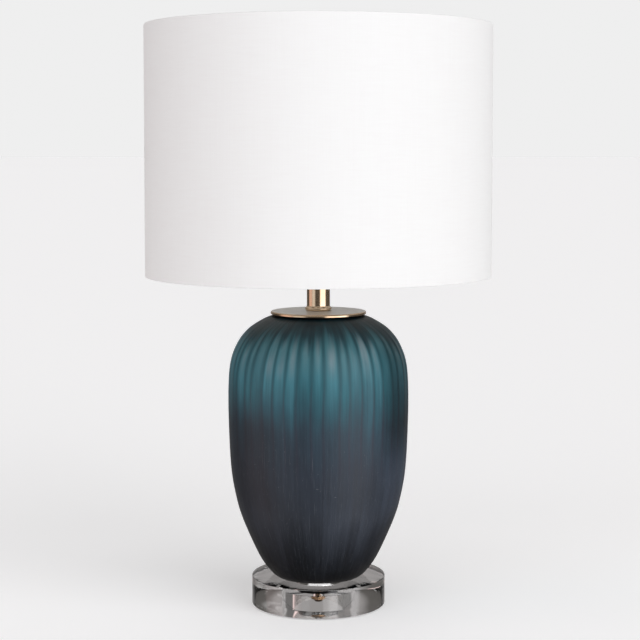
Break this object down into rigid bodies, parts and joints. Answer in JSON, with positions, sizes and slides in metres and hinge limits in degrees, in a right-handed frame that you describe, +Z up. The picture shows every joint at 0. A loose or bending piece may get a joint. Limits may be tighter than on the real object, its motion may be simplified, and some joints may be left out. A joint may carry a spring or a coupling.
{
  "type": "table lamp with shade",
  "caption": "Table lamp: fluted frosted-glass urn body on a clear acrylic disc, brass cap and neck, switched socket with bulb, detachable harp, white drum shade and finial.",
  "frame": {"origin": "centre of the footprint on the table, on the lamp's own axis, at the underside of the foot pads", "axes": "+Z up along the lamp's axis, -Y towards the front, +Y to the back where the cord inlet is, +X to the right"},
  "size_m": [0.4059, 0.406, 0.692],
  "materials": {
    "cut_glass": "satin blue-grey glass with shallow hand-cut vertical flutes",
    "clear_acrylic": "polished clear acrylic",
    "clear_pad": "soft clear bumper",
    "antique_brass": "brushed antique brass",
    "plain_brass": "plain brass",
    "zinc_steel": "zinc plated",
    "shade_cloth": "plain white linen-look cloth",
    "shade_lining": "white styrene",
    "white_enamel": "white enamel",
    "black_plastic": "moulded",
    "gasket_felt": "soft grey gasket",
    "fibre": "vulcanised fibre",
    "socket_porcelain": "matt porcelain",
    "bulb_glass": "frosted white",
    "bulb_metal": "bright"
  },
  "bodies": {
    "stand": {"foot_pads": "clear_pad", "acrylic_base": "clear_acrylic", "cord_bushing": "black_plastic", "clamp_washer": "zinc_steel", "lock_washer": "zinc_steel", "bottom_nut": "plain_brass", "lamp_pipe": "plain_brass", "foot_gasket": "gasket_felt", "glass_body": "cut_glass", "foot_grommet": "gasket_felt", "mouth_gasket": "gasket_felt", "mouth_locator": "black_plastic", "vase_cap": "antique_brass", "neck_tube": "antique_brass", "neck_bush": "antique_brass", "top_locknut": "plain_brass", "harp_saddle": "antique_brass", "socket_cap": "antique_brass", "set_screw": "zinc_steel", "socket_shell": "antique_brass", "insulating_sleeve": "fibre", "socket_insulator": "socket_porcelain", "terminal_screws": "plain_brass", "screw_shell": "plain_brass", "centre_contact": "plain_brass"},
    "switch": {"switch_spindle": "plain_brass", "switch_knob": "black_plastic"},
    "bulb": {"bulb_contact": "plain_brass", "bulb_insulator": "black_plastic", "bulb_cap": "bulb_metal", "bulb_globe": "bulb_glass"},
    "harp": {"harp_frame": "antique_brass", "harp_stud": "antique_brass"},
    "sleeve_left": {"harp_sleeve_left": "antique_brass"},
    "sleeve_right": {"harp_sleeve_right": "antique_brass"},
    "shade": {"spider_hub": "white_enamel", "spider_arms": "white_enamel", "shade_top_ring": "white_enamel", "shade_bottom_ring": "white_enamel", "shade_liner": "shade_lining", "shade_fabric": "shade_cloth"},
    "finial": {"finial": "antique_brass"}
  },
  "joints": [
    {"name": "switch_turn", "type": "hinge", "parent": "stand", "child": "switch", "pos_m": [0, -0.02, 0.4371], "axis": [0, 1, 0], "continuous": true},
    {"name": "bulb_turn", "type": "hinge", "parent": "stand", "child": "bulb", "pos_m": [0, 0, 0.45], "axis": [0, 0, 1], "continuous": true},
    {"name": "harp_lift", "type": "slide", "parent": "stand", "child": "harp", "axis": [0, 0, 1], "range_m": [0, 0.03]},
    {"name": "sleeve_left_slide", "type": "slide", "parent": "harp", "child": "sleeve_left", "axis": [0, 0, 1], "range_m": [0, 0.014]},
    {"name": "sleeve_right_slide", "type": "slide", "parent": "harp", "child": "sleeve_right", "axis": [0, 0, 1], "range_m": [0, 0.014]},
    {"name": "shade_turn", "type": "hinge", "parent": "harp", "child": "shade", "pos_m": [0, 0, 0.668], "axis": [0, 0, 1], "continuous": true},
    {"name": "finial_turn", "type": "hinge", "parent": "harp", "child": "finial", "pos_m": [0, 0, 0.67], "axis": [0, 0, 1], "continuous": true}
  ]
}
